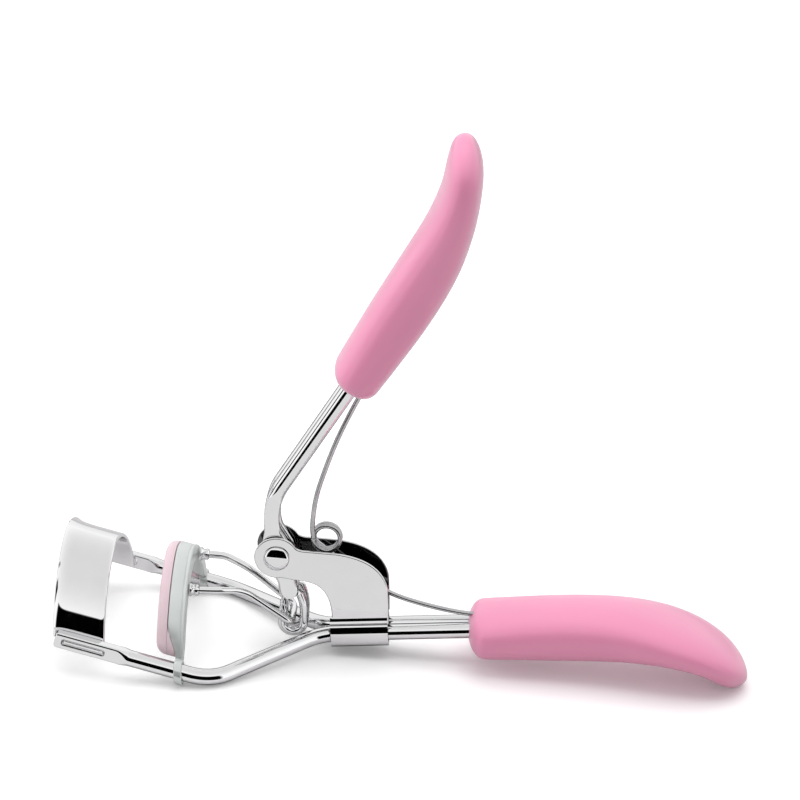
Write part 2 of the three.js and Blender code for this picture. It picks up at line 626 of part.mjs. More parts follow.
// ---- the assembly ----
const rod = frameRod();
addPart('frame_rod_near', rod, chrome);
addPart('frame_rod_far', mirrored(rod), chrome);
addPart('fixed_jaw_plate', fixedJawPlate(), chrome);
addPart('sliding_jaw', slidingJaw(), satinSteel);
addPart('silicone_pad', siliconePad(), silicone);
const socket = toGeometry(toSolid(forkSocket()));
addPart('fork_socket_near', socket, satinSteel);
addPart('fork_socket_far', mirrored(socket), satinSteel);
addPart('push_fork', pushFork(), chrome);
addPart('hinge_bracket', hingeBracket(), chrome);
addPart('pivot_rivet', pivotRivet(), chrome);
const lever = leverRod();
addPart('lever_rod_near', lever, chrome);
addPart('lever_rod_far', mirrored(lever), chrome);
addPart('torsion_spring', torsionSpring(), springSteel);
addPart('spring_upper_leg', springUpperLeg(), springSteel);
addPart('lower_grip', lowerGrip(), gripPlastic);
addPart('upper_grip', upperGrip(), gripPlastic);

export default group;
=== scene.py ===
"""An eyelash curler's looks: smooth wires, pressed sheet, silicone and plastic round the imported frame.

Shapes are drawn in millimetres, in the frame's own directions: X from the jaws to the grips,
Y across, Z up.
"""

import math

import bpy
import numpy as np
from mathutils import Matrix, Vector


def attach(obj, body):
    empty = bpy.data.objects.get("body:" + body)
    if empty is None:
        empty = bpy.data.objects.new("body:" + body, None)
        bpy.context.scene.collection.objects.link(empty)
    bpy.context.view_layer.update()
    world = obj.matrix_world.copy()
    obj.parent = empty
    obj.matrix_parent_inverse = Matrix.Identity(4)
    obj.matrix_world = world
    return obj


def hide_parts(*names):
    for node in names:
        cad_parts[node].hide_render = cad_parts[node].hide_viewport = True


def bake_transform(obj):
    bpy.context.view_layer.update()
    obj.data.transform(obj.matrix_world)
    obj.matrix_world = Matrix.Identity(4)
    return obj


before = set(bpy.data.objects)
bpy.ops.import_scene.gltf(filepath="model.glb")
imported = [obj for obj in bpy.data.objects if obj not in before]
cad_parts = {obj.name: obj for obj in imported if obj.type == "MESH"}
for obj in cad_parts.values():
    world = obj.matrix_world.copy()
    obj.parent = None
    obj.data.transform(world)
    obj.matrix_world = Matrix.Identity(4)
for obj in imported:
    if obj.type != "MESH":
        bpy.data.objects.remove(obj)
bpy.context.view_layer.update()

MM = 0.001

# ---- driving dimensions, as in the CAD ----
ROD_R = 1.5
RAIL_Y = 17.55
BEND_X = -35.9
FRONT_X = BEND_X - 29.4
BEND_Z = 1.27
RAIL_SLOPE = math.radians(12.3)
HANDLE_SLOPE = math.radians(7.2)
RAIL_FLAT_LENGTH = 11.5
RAIL_FLAT_THICKNESS = 1.8
SHEET = 0.6

PLATE_LENGTH = 9.0
PLATE_SHEET = 0.8
PLATE_HALF_WIDTH = 16.2
PLATE_HEIGHT = 13.7
ARCH_POWER = 1.65
JAW_LEAN = math.radians(4)
TAB_LENGTH = 7.4
TAB_GAP = 0.3

SLIDER_BACK_X = BEND_X - 5.2
SLIDER_LENGTH = 3.1
SLIDER_FRONT_X = SLIDER_BACK_X - SLIDER_LENGTH
SLIDER_HALF_WIDTH = 17.0
SLIDER_HEIGHT = 15.9
SLIDER_DEPTH = 3.0
LOOP_R = 1.75
LOOP_SAG = 0.05
LOOP_WIDTH = 1.5
PAD_REACH = 2.15  # a little less than in the CAD, so that the closed jaws stay clear
PAD_GAP = 0.12
CHANNEL_FOOT = 2.9
PAD_FOOT = 1.7

PIVOT_X, PIVOT_Z = BEND_X + 9.8, 20.1
EYE_R = 4.25
EAR_IN = 2.55
COLLAR_START = 21.2
COLLAR_LENGTH = 10.9
COLLAR_HALF_WIDTH = 3.85
COLLAR_DROP = 2.5
RIVET_R = 1.1
RIVET_HEAD_R = 2.45

LEVER_R = 1.5
LEVER_Y = 1.55
LEVER_FLAT = 1.65
LEVER_SLOPE = math.radians(61.4)
KNEE_X, KNEE_Z = BEND_X + 8.37, 32.0
BAR_X, BAR_Z = BEND_X + 13.4, 6.8
HOOK_X, HOOK_Z = BEND_X + 13.6, 5.75
HOOK_R = 2.05
HOOK_Y = 1.5
HOOK_WIRE_R = 0.85

FORK_R = 0.7
FORK_FRONT = (SLIDER_BACK_X - 0.8, 7.1, 14.1)
FORK_KNEE = (BEND_X + 4, 4.6, 13.4)
FORK_BACK_Y = 3.6

SPRING_X, SPRING_Z = BEND_X + 18.9, 23.85
SPRING_R = 2.5
SPRING_WIRE_R = 0.46
SPRING_PITCH = 1.0
SPRING_TURNS = 2
LEAVE_ANGLE = math.radians(228)

LOWER_GRIP_LENGTH = 57.0
UPPER_GRIP_LENGTH = 52.5
LOWER_GRIP_AT = 47.6
UPPER_GRIP_AT = 26.2
SOCKET_DEPTH = 16.0

X_AXIS = np.array([1.0, 0.0, 0.0])
Y_AXIS = np.array([0.0, 1.0, 0.0])
Z_AXIS = np.array([0.0, 0.0, 1.0])


# ---- meshes ----
def solid(name, verts, faces):
    """A mesh object from points in millimetres, with its faces turned outwards."""
    mesh = bpy.data.meshes.new(name)
    mesh.from_pydata([tuple(v) for v in np.asarray(verts, float) * MM], [], faces)
    mesh.validate()
    obj = bpy.data.objects.new(name, mesh)
    bpy.context.scene.collection.objects.link(obj)
    bpy.context.view_layer.objects.active = obj
    volume = sum(_face_volume(mesh, p) for p in mesh.polygons)
    if volume < 0:
        mesh.flip_normals()
    return obj


def _face_volume(mesh, polygon):
    corners = [mesh.vertices[i].co for i in polygon.vertices]
    return sum(
        corners[0].dot(corners[i].cross(corners[i + 1]))
        for i in range(1, len(corners) - 1)
    )


def applied(obj):
    """Bakes an object's modifiers into its mesh."""
    bpy.context.view_layer.update()
    graph = bpy.context.evaluated_depsgraph_get()
    mesh = bpy.data.meshes.new_from_object(obj.evaluated_get(graph))
    old = obj.data
    obj.modifiers.clear()
    obj.data = mesh
    bpy.data.meshes.remove(old)
    return obj


def boolean(obj, operation, *tools):
    """Joins, cuts or trims obj with other closed meshes, which are used up."""
    for tool in tools:
        modifier = obj.modifiers.new("boolean", "BOOLEAN")
        modifier.operation = operation
        modifier.solver = "EXACT"
        modifier.object = tool
        applied(obj)
        bpy.data.objects.remove(tool)
    return obj


def bevelled(obj, width, segments=3, angle=40):
    """Rounds the sharp edges, as pressed and plated sheet has them."""
    modifier = obj.modifiers.new("bevel", "BEVEL")
    modifier.width = width * MM
    modifier.segments = segments
    modifier.limit_method = "ANGLE"
    modifier.angle_limit = math.radians(angle)
    modifier.use_clamp_overlap = False
    return applied(obj)


def smooth(obj, flat_faces=False, angle=35):
    """Smooth shading up to an angle. Large flat faces stay flat up to their bevels."""
    obj.data.shade_smooth()
    obj.data.set_sharp_from_angle(angle=math.radians(angle))
    if flat_faces:
        modifier = obj.modifiers.new("weighted", "WEIGHTED_NORMAL")
        modifier.keep_sharp = True
        modifier.weight = 80
        applied(obj)
    return obj


def loft(name, rings):
    """A closed skin over rings of equal length, with a flat cap at each end."""
    count = len(rings[0])
    verts = np.concatenate(rings)
    faces = []
    for i in range(len(rings) - 1):
        for j in range(count):
            k = (j + 1) % count
            p, q = i * count, (i + 1) * count
            faces.append((p + j, p + k, q + k, q + j))
    faces.append(tuple(reversed(range(count))))
    faces.append(tuple((len(rings) - 1) * count + j for j in range(count)))
    return solid(name, verts, faces)


def arc_lengths(path):
    steps = np.linalg.norm(np.diff(path, axis=0), axis=1)
    return np.concatenate([[0], np.cumsum(steps)])


def tangents(path):
    forward = np.gradient(path, arc_lengths(path), axis=0)
    return forward / np.linalg.norm(forward, axis=1)[:, None]


def swept_rings(path, section, up):
    """Rings along a path. section(i, length) gives points (a, b): a towards up, b beside it."""
    forward = tangents(path)
    lengths = arc_lengths(path)
    rings = []
    for i, (point, t) in enumerate(zip(path, forward)):
        a = up - (up @ t) * t
        a /= np.linalg.norm(a)
        b = np.cross(t, a)
        flat = section(i, lengths[i])
        rings.append(point + np.outer(flat[:, 0], a) + np.outer(flat[:, 1], b))
    return rings


def superellipse(a, b, power, count=40):
    angle = np.linspace(0, 2 * math.pi, count, endpoint=False)
    c, s = np.cos(angle), np.sin(angle)
    return np.column_stack(
        [
            a * np.sign(c) * np.abs(c) ** (2 / power),
            b * np.sign(s) * np.abs(s) ** (2 / power),
        ]
    )


def end_scale(length, total, rounding):
    """1 along a wire, rounding off near its two ends."""
    near = min(length, total - length)
    share = 1 - min(1.0, max(0.0, near) / rounding)
    return math.sqrt(max(0.02, 1 - share * share))


def tube(name, path, radius, up, sides=28, rounding=0.15):
    total = arc_lengths(path)[-1]

    def section(_, length):
        scale = 1 - (1 - end_scale(length, total, rounding)) * rounding / radius
        return superellipse(radius * scale, radius * scale, 2, sides)

    return loft(name, swept_rings(path, section, up))


def rounded_path(points, run_ins, step=0.4):
    """Straight lines whose corners are rounded, each over its own run-in."""
    points = [np.array(p, float) for p in points]
    out = [points[0]]

    def line_to(target):
        start = out[-1]
        count = max(1, int(np.linalg.norm(target - start) / step))
        for i in range(1, count + 1):
            out.append(start + (target - start) * i / count)

    for i in range(1, len(points) - 1):
        corner, run = points[i], run_ins[i - 1]
        before = points[i - 1] - corner
        after = points[i + 1] - corner
        enter = corner + before / np.linalg.norm(before) * run
        leave = corner + after / np.linalg.norm(after) * run
        line_to(enter)
        for t in np.linspace(0, 1, 15)[1:]:
            out.append((1 - t) ** 2 * enter + 2 * t * (1 - t) * corner + t * t * leave)
    line_to(points[-1])
    return np.array(out)


def spline(points, count):
    """A smooth curve through points, spaced by the square root of their distances."""
    points = np.array(points, float)
    knots = np.concatenate(
        [[0], np.cumsum(np.sqrt(np.linalg.norm(np.diff(points, axis=0), axis=1)))]
    )
    slopes = np.gradient(points, knots, axis=0)
    out = []
    for u in np.linspace(0, knots[-1], count):
        i = min(len(knots) - 2, max(0, int(np.searchsorted(knots, u, "right")) - 1))
        span = knots[i + 1] - knots[i]
        t = (u - knots[i]) / span
        out.append(
            (2 * t**3 - 3 * t**2 + 1) * points[i]
            + (t**3 - 2 * t**2 + t) * span * slopes[i]
            + (3 * t**2 - 2 * t**3) * points[i + 1]
            + (t**3 - t**2) * span * slopes[i + 1]
        )
    return np.array(out)


def curve_through(pairs):
    """The same smooth curve through pairs of a position and a value as in the CAD."""
    slopes = []
    for i in range(len(pairs)):
        before, after = pairs[max(0, i - 1)], pairs[min(len(pairs) - 1, i + 1)]
        slopes.append((after[1] - before[1]) / (after[0] - before[0]))

    def value(x):
        i = 0
        while i < len(pairs) - 2 and x > pairs[i + 1][0]:
            i += 1
        (x0, y0), (x1, y1) = pairs[i], pairs[i + 1]
        span = x1 - x0
        t = (x - x0) / span
        mix = t * t * (3 - 2 * t)
        bulge = t * (1 - t) * span * ((1 - t) * slopes[i] - t * slopes[i + 1])
        return y0 + mix * (y1 - y0) + bulge

    return value


def prism(name, outline, y0, y1):
    """An outline in X and Z, as a plate from y0 to y1."""
    count = len(outline)
    verts = [(x, y0, z) for x, z in outline] + [(x, y1, z) for x, z in outline]
    faces = [tuple(range(count)), tuple(range(2 * count - 1, count - 1, -1))]
    for i in range(count):
        j = (i + 1) % count
        faces.append((i, i + count, j + count, j))
    return solid(name, verts, faces)


def lathe(name, profile, axis_start, axis, count=48):
    """Pairs of a radius and a distance along an axis, turned round it. The ends have radius 0."""
    axis = np.array(axis, float)
    start = np.array(axis_start, float)
    side = Z_AXIS if abs(axis[2]) < 0.9 else X_AXIS
    a = np.cross(axis, side)
    a /= np.linalg.norm(a)
    b = np.cross(axis, a)
    inner = profile[1:-1]
    verts = [start + axis * profile[0][1]]
    for radius, along in inner:
        for i in range(count):
            angle = 2 * math.pi * i / count
            verts.append(
                start
                + axis * along
                + radius * (a * math.cos(angle) + b * math.sin(angle))
            )
    verts.append(start + axis * profile[-1][1])
    last = len(verts) - 1
    faces = []
    for j in range(count):
        k = (j + 1) % count
        faces.append((0, 1 + k, 1 + j))
        for i in range(len(inner) - 1):
            p, q = 1 + i * count, 1 + (i + 1) * count
            faces.append((p + j, p + k, q + k, q + j))
        p = 1 + (len(inner) - 1) * count
        faces.append((p + j, p + k, last))
    return solid(name, verts, faces)


def mirrored(obj, name):
    copy = obj.copy()
    copy.data = obj.data.copy()
    copy.name = name
    bpy.context.scene.collection.objects.link(copy)
    copy.data.transform(Matrix.Scale(-1, 4, Vector((0, 1, 0))))
    copy.data.flip_normals()
    return copy


def pin(x, z, radius, y0, y1):
    profile = [(0, y0), (radius, y0), (radius, y1), (0, y1)]
    return lathe("pin", profile, (x, 0, z), Y_AXIS)


def rounded_corners(points, radius, segments=5):
    """A closed outline with every corner rounded off."""
    out = []
    count = len(points)
    for i in range(count):
        corner = np.array(points[i], float)
        before = np.array(points[i - 1], float) - corner
        after = np.array(points[(i + 1) % count], float) - corner
        run = min(
            radius, 0.45 * np.linalg.norm(before), 0.45 * np.linalg.norm(after)
        )
        enter = corner + before / np.linalg.norm(before) * run
        leave = corner + after / np.linalg.norm(after) * run
        for t in np.linspace(0, 1, segments):
            out.append((1 - t) ** 2 * enter + 2 * t * (1 - t) * corner + t * t * leave)
    return np.array(out)


def ramp(x, x0, x1):
    t = min(1.0, max(0.0, (x - x0) / (x1 - x0)))
    return t * t * (3 - 2 * t)


# ---- places along the frame ----
def rail_z(x):
    return BEND_Z + (BEND_X - x) * math.tan(RAIL_SLOPE)


def handle_z(x):
    return BEND_Z + (x - BEND_X) * math.tan(HANDLE_SLOPE)


def follow_rails(points, start_x):
    """Points drawn level from start_x, moved to follow the rails, with arches leaning forward."""
    x = points[:, 0] - start_x
    z = points[:, 2]
    return np.column_stack(
        [
            start_x + x - math.tan(JAW_LEAN) * z,
            points[:, 1],
            rail_z(start_x) + z - math.tan(RAIL_SLOPE) * x,
        ]
    )


def arch_points(angle, half_width, height):
    """A point on the arch: the angle runs from 0 at the near foot to pi at the far foot."""
    c, s = math.cos(angle), math.sin(angle)
    y = -half_width * math.copysign(abs(c) ** (2 / ARCH_POWER), c)
    return y, height * abs(s) ** (2 / ARCH_POWER)


def arch_stations(foot, height, count=110):
    """Places along an arch from foot to foot, close together everywhere."""
    fine = np.linspace(0, math.pi / 2, 4000)
    line = np.array([arch_points(a, SLIDER_HALF_WIDTH, height) for a in fine])
    length = arc_lengths(line)
    start = length[np.searchsorted(line[:, 1], max(0.0, foot))]
    half = np.interp(np.linspace(start, length[-1], count // 2), length, fine)
    return np.concatenate([half, math.pi - half[-2::-1]])


def arch_rings(section, half_width, height, foot, start_x, below=0.0, count=110):
    """Rings over an arch. section(share, z) gives points (x, depth), with share from foot to foot."""
    stations = arch_stations(foot, height, count)
    rings = []
    total = len(stations)
    for i, angle in enumerate(stations):
        _, level = arch_points(angle, half_width, height)
        flat = section(i / (total - 1), level)
        ring = []
        for x, depth in flat:
            y, z = arch_points(angle, half_width - depth, height - depth)
            ring.append((x, y, z))
        rings.append(np.array(ring))
    if below > 0:
        for place, at in ((0, 0), (len(rings) + 1, -1)):
            low = rings[at].copy()
            low[:, 2] = -below
            rings.insert(place, low)
    return [follow_rails(ring, start_x) for ring in rings]


# ---- frame rods ----
def frame_rod(name):
    grip_inside = BEND_X + (LOWER_GRIP_AT + SOCKET_DEPTH - 1) * math.cos(HANDLE_SLOPE)
    collar_x = BEND_X + COLLAR_START - 1.8
    path = rounded_path(
        [
            (FRONT_X + 0.5, -RAIL_Y, rail_z(FRONT_X + 0.5)),
            (BEND_X, -RAIL_Y, BEND_Z),
            (collar_x, -ROD_R - 0.05, handle_z(collar_x)),
            (grip_inside, -ROD_R - 0.05, handle_z(grip_inside)),
        ],
        [4.2, 4.0],
        step=0.25,
    )
    total = arc_lengths(path)[-1]
    flat_end = RAIL_FLAT_LENGTH / math.cos(RAIL_SLOPE)

    def section(_, length):
        share = ramp(length, flat_end - 0.4, flat_end + 2.2)
        end = end_scale(length, total, 0.5)
        trim = (1 - end) * 0.45
        up = ROD_R + 0.05 * (1 - share) - trim
        side = RAIL_FLAT_THICKNESS / 2 * (1 - share) + ROD_R * share - trim * 0.6
        return superellipse(up, side, 7 - 5 * share, 56)

    rod = loft(name, swept_rings(path, section, Z_AXIS))
    half = PLATE_SHEET / 2 + TAB_GAP
    slot_start = 1.3
    slot_end = slot_start + (TAB_LENGTH + 2 * TAB_GAP) / math.cos(RAIL_SLOPE)
    outline = rounded_corners(
        [(slot_start, -half), (slot_end, -half), (slot_end, half), (slot_start, half)],
        0.5,
    )
    c, s = math.cos(RAIL_SLOPE), math.sin(RAIL_SLOPE)
    x0, z0 = FRONT_X + 0.5, rail_z(FRONT_X + 0.5)
    turned = [(x0 + c * u + s * v, z0 - s * u + c * v) for u, v in outline]
    boolean(rod, "DIFFERENCE", prism("slot", turned, -RAIL_Y - 3, -RAIL_Y + 3))
    return rod


# ---- fixed jaw ----
def fixed_jaw():
    """An arched strip whose front edge opens outwards like a trumpet, with a tab in each rail's slot."""
    start_x = FRONT_X + 0.15
    flare, flare_rise = 0.85, 0.62

    def section(_, level):
        stations = np.linspace(0, 1, 22) ** 1.5 * PLATE_LENGTH
        outward = flare_rise * np.exp(-stations / flare)
        half = PLATE_SHEET / 2
        outer = [(x, -o) for x, o in zip(stations, outward)]
        inner = [(x, PLATE_SHEET - o) for x, o in zip(stations, outward)]
        rim = [
            (PLATE_LENGTH + 0.22 * math.cos(t), half + half * math.sin(t))
            for t in np.linspace(-math.pi / 2, math.pi / 2, 7)[1:-1]
        ]
        front_depth = half - flare_rise
        lip = [
            (-0.22 * math.cos(t), front_depth + half * math.sin(t))
            for t in np.linspace(math.pi / 2, -math.pi / 2, 7)[1:-1]
        ]
        return np.array(outer + rim + inner[::-1] + lip) + [start_x, 0]

    plate = loft(
        "fixed_jaw",
        arch_rings(
            section,
            PLATE_HALF_WIDTH,
            PLATE_HEIGHT,
            0.0,
            start_x,
            below=PLATE_SHEET / 2,
        ),
    )
    tab_start = 1.6 + TAB_GAP
    tab_out = RAIL_Y + RAIL_FLAT_THICKNESS / 2 - 0.2
    tab_in = PLATE_HALF_WIDTH - PLATE_SHEET * 0.8
    tools = []
    for side in (-1, 1):
        outline = rounded_corners(
            [
                (tab_start, side * tab_in),
                (tab_start + TAB_LENGTH, side * tab_in),
                (tab_start + TAB_LENGTH, side * tab_out),
                (tab_start, side * tab_out),
            ],
            0.35,
        )
        half = PLATE_SHEET * 0.36
        rings = []
        for level, inset in ((-half, 0.1), (-half + 0.1, 0), (half - 0.1, 0), (half, 0.1)):
            middle = outline.mean(axis=0)
            ring = middle + (outline - middle) * (1 - inset / 2)
            rings.append(
                follow_rails(
                    np.column_stack(
                        [ring[:, 0] + start_x, ring[:, 1], np.full(len(ring), level)]
                    ),
                    start_x,
                )
            )
        tools.append(loft("tab", rings))
    return boolean(plate, "UNION", *tools)


# ---- sliding jaw ----
# the raised rim along the channel's back edge, as distances in front of it and depths
CHANNEL_RIM = [
    (-1.05, 0),
    (-0.86, 0.03),
    (-0.74, 0.12),
    (-0.62, 0.03),
    (-0.45, -0.1),
    (-0.25, -0.12),
    (-0.07, 0),
    (0, 0.22),
]


def channel_outline():
    """The channel's section, open to the front: x from its back face, depth from its outside."""
    back, front = 0.0, -SLIDER_LENGTH
    deep = SLIDER_DEPTH
    corner = 0.55
    arc = np.linspace(0, math.pi / 2, 7)
    edge = SHEET / 2
    points = []
    for t in np.linspace(-math.pi / 2, math.pi / 2, 7):  # front edge of the outer wall
        points.append((front + edge * (1 - math.cos(t)) * 0.6, edge - edge * math.sin(t)))
    points += spline([(back + x, depth) for x, depth in CHANNEL_RIM], 22).tolist()
    for t in arc:
        points.append(
            (back - corner + corner * math.cos(t), deep - corner + corner * math.sin(t))
        )
    for t in np.linspace(-math.pi / 2, math.pi / 2, 7):  # front edge of the inner wall
        points.append(
            (front + edge * (1 - math.cos(t)) * 0.6, deep - edge - edge * math.sin(t))
        )
    inside = 0.25
    for t in arc:
        points.append(
            (
                back - SHEET - inside + inside * math.sin(t),
                deep - SHEET - inside + inside * math.cos(t),
            )
        )
    for t in arc:
        points.append(
            (
                back - SHEET - inside + inside * math.cos(t),
                SHEET + inside - inside * math.sin(t),
            )
        )
    return np.array(points)


def ring_band(name, y, z, x0, width, inner, wall):
    """A round band about a line along X."""
    section = rounded_corners(
        [(0, inner), (width, inner), (width, inner + wall), (0, inner + wall)], 0.28, 6
    )
    verts, faces = [], []
    count, around = len(section), 56
    for i in range(around):
        angle = 2 * math.pi * i / around
        for along, radius in section:
            verts.append(
                (x0 + along, y + radius * math.sin(angle), z + radius * math.cos(angle))
            )
    for i in range(around):
        p, q = i * count, (i + 1) % around * count
        for j in range(count):
            k = (j + 1) % count
            faces.append((p + j, p + k, q + k, q + j))
    verts = follow_rails(np.array(verts), SLIDER_BACK_X)
    return solid(name, verts, faces)


def channel_run(level):
    """How far the channel reaches forward: it narrows to the loops' width at its feet."""
    wide = ramp(level, CHANNEL_FOOT - 0.6, CHANNEL_FOOT + 4.6)
    return LOOP_WIDTH + (SLIDER_LENGTH - LOOP_WIDTH) * wide


def sliding_jaw():
    outline = channel_outline()

    def section(_, level):
        run = channel_run(level) / SLIDER_LENGTH
        deep = 0.36 + 0.64 * ramp(level, CHANNEL_FOOT - 1.4, CHANNEL_FOOT + 1.6)
        shifted = outline.copy()
        shifted[:, 0] = SLIDER_BACK_X + outline[:, 0] * run
        shifted[:, 1] = outline[:, 1] * deep
        return shifted

    jaw = loft(
        "sliding_jaw_shell",
        arch_rings(
            section, SLIDER_HALF_WIDTH, SLIDER_HEIGHT, LOOP_R + 0.1, SLIDER_BACK_X
        ),
    )
    tools = []
    for side in (-1, 1):
        tools.append(
            ring_band(
                "loop",
                side * RAIL_Y,
                -LOOP_SAG,
                SLIDER_BACK_X - LOOP_WIDTH,
                LOOP_WIDTH,
                LOOP_R,
                SHEET,
            )
        )
    return boolean(jaw, "UNION", *tools)


def silicone_pad():
    """A rounded strip in front of the channel, with its root between the channel's walls.

    Where the channel narrows at its feet, the root is nearly as wide as the face and ends just in
    front of the channel's edge.
    """
    face_rounding = 2.0
    end_share, end_drop = 0.05, 2.2
    front = SLIDER_FRONT_X - PAD_REACH
    back = SLIDER_BACK_X - SHEET - PAD_GAP
    root_in = SHEET + PAD_GAP
    face_in = 0.1
    step = SLIDER_FRONT_X - 0.12
    middle = SLIDER_DEPTH / 2
    half_face = middle - face_in
    half_root = middle - root_in
    points = []
    for t in np.linspace(-math.pi / 2, math.pi / 2, 17):
        round_x = front + face_rounding * (1 - math.cos(t))
        points.append((round_x, middle - half_face * math.sin(t)))
    shape = points[::-1] + rounded_corners(
        [
            (step, middle + half_face),
            (step, middle + half_root),
            (back, middle + half_root),
            (back, middle - half_root),
            (step, middle - half_root),
            (step, middle - half_face),
        ],
        0.3,
        5,
    ).tolist()
    outline = np.array(shape)

    def section(share, level):
        end = min(1.0, min(share, 1 - share) / end_share)
        scale = math.sqrt(max(0.03, 1 - (1 - end) ** 2))
        flat = outline.copy()
        edge = SLIDER_BACK_X - channel_run(level)
        bare = ramp(edge - SLIDER_FRONT_X, 0, 0.5)
        root = outline[:, 0] > step
        wide_root = half_root + bare * (0.97 * half_face - half_root)
        off = outline[root, 1] - middle
        spread = np.interp(np.abs(off), [0, half_root, half_face], [0, wide_root, half_face])
        flat[root, 1] = middle + np.sign(off) * spread
        shorter = 1 + bare * ((edge - 0.05 - step) / (back - step) - 1)
        flat[root, 0] = step + (outline[root, 0] - step) * shorter
        flat[:, 1] = middle + (flat[:, 1] - middle) * scale
        drop = end_drop * (1 - scale)
        flat[:, 0] = np.maximum(flat[:, 0], front + drop)
        return flat

    rings = arch_rings(
        section, SLIDER_HALF_WIDTH, SLIDER_HEIGHT, PAD_FOOT, SLIDER_BACK_X, count=170
    )
    return loft("silicone_pad_soft", rings)


# ---- push fork ----
def fork_socket(name):
    x = FORK_FRONT[0] + 0.25
    profile = [
        (0, 0),
        (1.25, 0),
        (1.3, 0.1),
        (1.3, 0.3),
        (1.05, 0.5),
        (0.92, 0.78),
        (0.98, 0.95),
        (1.12, 1.12),
        (1.08, 1.5),
        (0.86, 1.72),
        (0, 1.74),
    ]
    return lathe(name, profile, (x, -FORK_FRONT[1], FORK_FRONT[2]), X_AXIS, 32)


def push_fork():
    def near(p):
        return (p[0], -p[1], p[2])

    start = (FORK_FRONT[0] + 1.6, FORK_FRONT[1], FORK_FRONT[2])
    lead = (FORK_FRONT[0] + 5.2, FORK_FRONT[1] - 0.2, FORK_FRONT[2] + 0.15)
    back = (BAR_X, FORK_BACK_Y, BAR_Z)
    path = rounded_path(
        [near(start), near(lead), near(FORK_KNEE), near(back), back, FORK_KNEE, lead, start],
        [1.2, 2.5, 1.5, 1.5, 2.5, 1.2],
        step=0.3,
    )
    return tube("push_fork_wire", path, FORK_R, Z_AXIS)


# ---- hinge bracket ----
def quadratic(start, control, end, count=12):
    start, control, end = (np.array(p, float) for p in (start, control, end))
    return [
        (1 - t) ** 2 * start + 2 * t * (1 - t) * control + t * t * end
        for t in np.linspace(0, 1, count + 1)[1:]
    ]


def ear_outline():
    x0 = BEND_X + COLLAR_START
    x1 = x0 + COLLAR_LENGTH
    foot = 2.4
    first = (x0, handle_z(x0) + foot)
    points = [np.array(first)]
    points += quadratic(points[-1], (x0 - 0.2, 15.4), (x0 - 6, 15.6))
    points += quadratic(
        points[-1], (PIVOT_X + 3, 15.7), (PIVOT_X + 1.1, PIVOT_Z - 0.966 * EYE_R)
    )
    for degrees in np.linspace(-75, -325, 60)[1:]:
        t = math.radians(degrees)
        points.append(
            np.array([PIVOT_X + EYE_R * math.cos(t), PIVOT_Z + EYE_R * math.sin(t)])
        )
    points += quadratic(points[-1], (PIVOT_X + 4.2, 22), (PIVOT_X + 5.6, 22.1), 8)
    points += [np.array([PIVOT_X + 9, 22.1]), np.array([x0 - 0.3, 22.1])]
    points += quadratic(points[-1], (x1 - 2.6, 21.6), (x1 - 0.9, 15.6), 20)
    points += quadratic(points[-1], (x1 - 0.6, 14), (x1 - 0.1, handle_z(x1) + foot), 8)
    return points


def collar_outline(inset):
    """The collar's section, outside or inset by the sheet. The outside is rolled round the rods."""
    w = COLLAR_HALF_WIDTH - inset
    top = 4.4
    waist = EAR_IN + SHEET - inset
    low = -COLLAR_DROP + inset
    if inset:
        half = [(waist, top), (waist, 3.4), (w, 2.6), (w, low + 1.5)]
        half += [(w - 0.5, low + 0.5), (w - 1.5, low)]
    else:
        half = [(waist, top), (waist, 4.15)]
        half += spline(
            [
                (waist, 4.15),
                (waist + 0.06, 3.85),
                (waist + 0.2, 3.5),
                (waist + 0.5, 3.15),
                (w - 0.5, 2.75),
                (w - 0.22, 2.3),
                (w - 0.02, 1.7),
                (w + 0.1, 1.1),
                (w + 0.12, 0.2),
                (w, -0.9),
                (w - 0.5, -1.8),
                (w - 1.3, low + 0.15),
                (w - 2.2, low),
            ],
            60,
        )[1:].tolist()
    half = [np.array(p) for p in half]
    left = [np.array([-p[0], p[1]]) for p in reversed(half)]
    return half + left


def collar_solid(name, inset, before, run):
    """The collar's section carried along the handle part of the frame."""
    x0 = BEND_X + COLLAR_START
    c, s = math.cos(HANDLE_SLOPE), math.sin(HANDLE_SLOPE)
    section = collar_outline(inset)
    rings = []
    for along in (before, before + run):
        rings.append(
            np.array(
                [
                    (x0 + c * along - s * z, y, handle_z(x0) + s * along + c * z)
                    for y, z in section
                ]
            )
        )
    return loft(name, rings)


def hinge_bracket():
    x0 = BEND_X + COLLAR_START
    run = COLLAR_LENGTH / math.cos(HANDLE_SLOPE)
    shell = collar_solid("bracket_shell", 0, 0, run)
    hollow = collar_solid("hollow", SHEET, -1, run + 2)
    over = prism(
        "over",
        [
            (x0 - 4, handle_z(x0) + 3.8),
            (x0 + 16, handle_z(x0) + 3.8),
            (x0 + 16, handle_z(x0) + 9.8),
            (x0 - 4, handle_z(x0) + 9.8),
        ],
        -EAR_IN,
        EAR_IN,
    )
    boolean(shell, "DIFFERENCE", hollow, over)
    outline = ear_outline()
    ears = [
        bevelled(prism("ear", outline, -EAR_IN - SHEET, -EAR_IN), 0.27),
        bevelled(prism("ear", outline, EAR_IN, EAR_IN + SHEET), 0.27),
    ]
    boolean(shell, "UNION", *ears)
    boolean(shell, "DIFFERENCE", pin(PIVOT_X, PIVOT_Z, RIVET_R + 0.2, -6, 6))
    return shell


